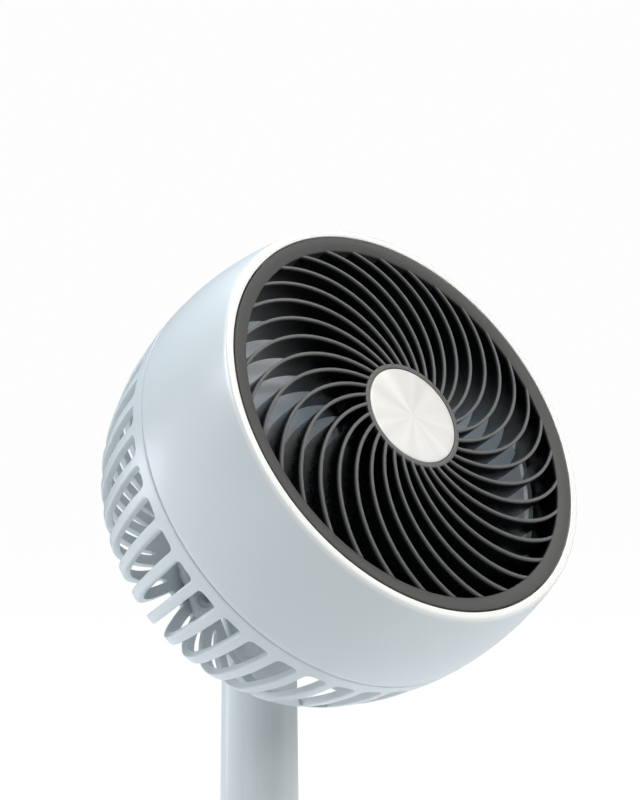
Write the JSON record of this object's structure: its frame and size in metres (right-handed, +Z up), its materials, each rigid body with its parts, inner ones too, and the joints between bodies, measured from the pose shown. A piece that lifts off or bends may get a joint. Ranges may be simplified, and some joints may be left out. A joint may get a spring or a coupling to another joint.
{
  "type": "handheld fan",
  "caption": "Round fan head with a spiral front grille and a ribbed rear grille, tilting on a straight battery handle.",
  "frame": {"origin": "centre of the flat underside of the handle's end cap", "axes": "+Z up along the handle, -Y the side that the head faces, +X to the viewer's right when looking at the head from the front (along +Y)"},
  "size_m": [0.1342, 0.1278, 0.2752],
  "materials": {
    "white_shell": "smooth white, soft gloss",
    "grille_grey": "dark teal grey, satin",
    "brushed_cap": "brushed in rings",
    "light_plastic": "satin",
    "blade_plastic": "satin, pale bluish grey",
    "steel": "bright",
    "core_steel": "dull",
    "coated_steel": "pressed sheet, powder coated white",
    "copper": "enamelled copper wire",
    "board_green": "solder mask",
    "brass": "turned",
    "bronze": "sintered bronze",
    "dark_plastic": "moulded",
    "magnet": "bonded ferrite",
    "handle_white": "smooth white, soft gloss",
    "nickel": "nickel plate",
    "led_body": "moulded",
    "lens": "milky",
    "cell_wrap": "shrink sleeve over a filled metal can",
    "foam": "closed-cell foam",
    "lead_black": "lead insulation",
    "lead_red": "lead insulation",
    "button_white": "smooth"
  },
  "bodies": {
    "handle": {"neck": "handle_white", "friction_washers": "dark_plastic", "pivot_screw": "steel", "spring_washer": "core_steel", "neck_screw": "steel", "handle_tube": "handle_white", "inner_frame": "light_plastic", "circuit_board": "board_green", "board_screws": "steel", "board_chips": "dark_plastic", "usb_socket": "nickel", "tact_switch": "dark_plastic", "indicator_leds": "led_body", "indicator_lens": "lens", "battery_cell": "cell_wrap", "cell_tabs": "nickel", "cell_pad": "foam", "handle_lead": "lead_black", "cell_lead": "lead_red", "bottom_cap": "handle_white", "cap_screw": "steel"},
    "head": {"front_shell": "white_shell", "rear_grille": "white_shell", "front_grille": "grille_grey", "centre_cap": "brushed_cap", "motor_carrier": "light_plastic", "clamp_screws": "steel", "stator_core": "core_steel", "stator_windings": "copper", "motor_board": "board_green", "bearing_tube": "brass", "bearing_bushes": "bronze", "bearing_cap": "dark_plastic", "hinge_bracket": "coated_steel", "bracket_screws": "steel", "pivot_bush": "brass", "head_lead": "lead_black"},
    "rotor": {"impeller": "blade_plastic", "rotor_cup": "steel", "magnet_ring": "magnet", "motor_shaft": "steel", "shaft_clip": "core_steel"},
    "button": {"power_button": "button_white", "switch_plunger": "dark_plastic"}
  },
  "joints": [
    {"name": "head_tilt", "type": "hinge", "parent": "handle", "child": "head", "pos_m": [0, 0, 0.17], "axis": [-1, 0, 0], "range_deg": [-29, 61]},
    {"name": "impeller_spin", "type": "hinge", "parent": "head", "child": "rotor", "pos_m": [0, -0.0658, 0.22043], "axis": [0, -0.8746, 0.4848], "continuous": true},
    {"name": "button_press", "type": "slide", "parent": "handle", "child": "button", "axis": [0, 1, 0], "range_m": [0, 0.0005], "stiffness_N_per_m": 2000}
  ]
}
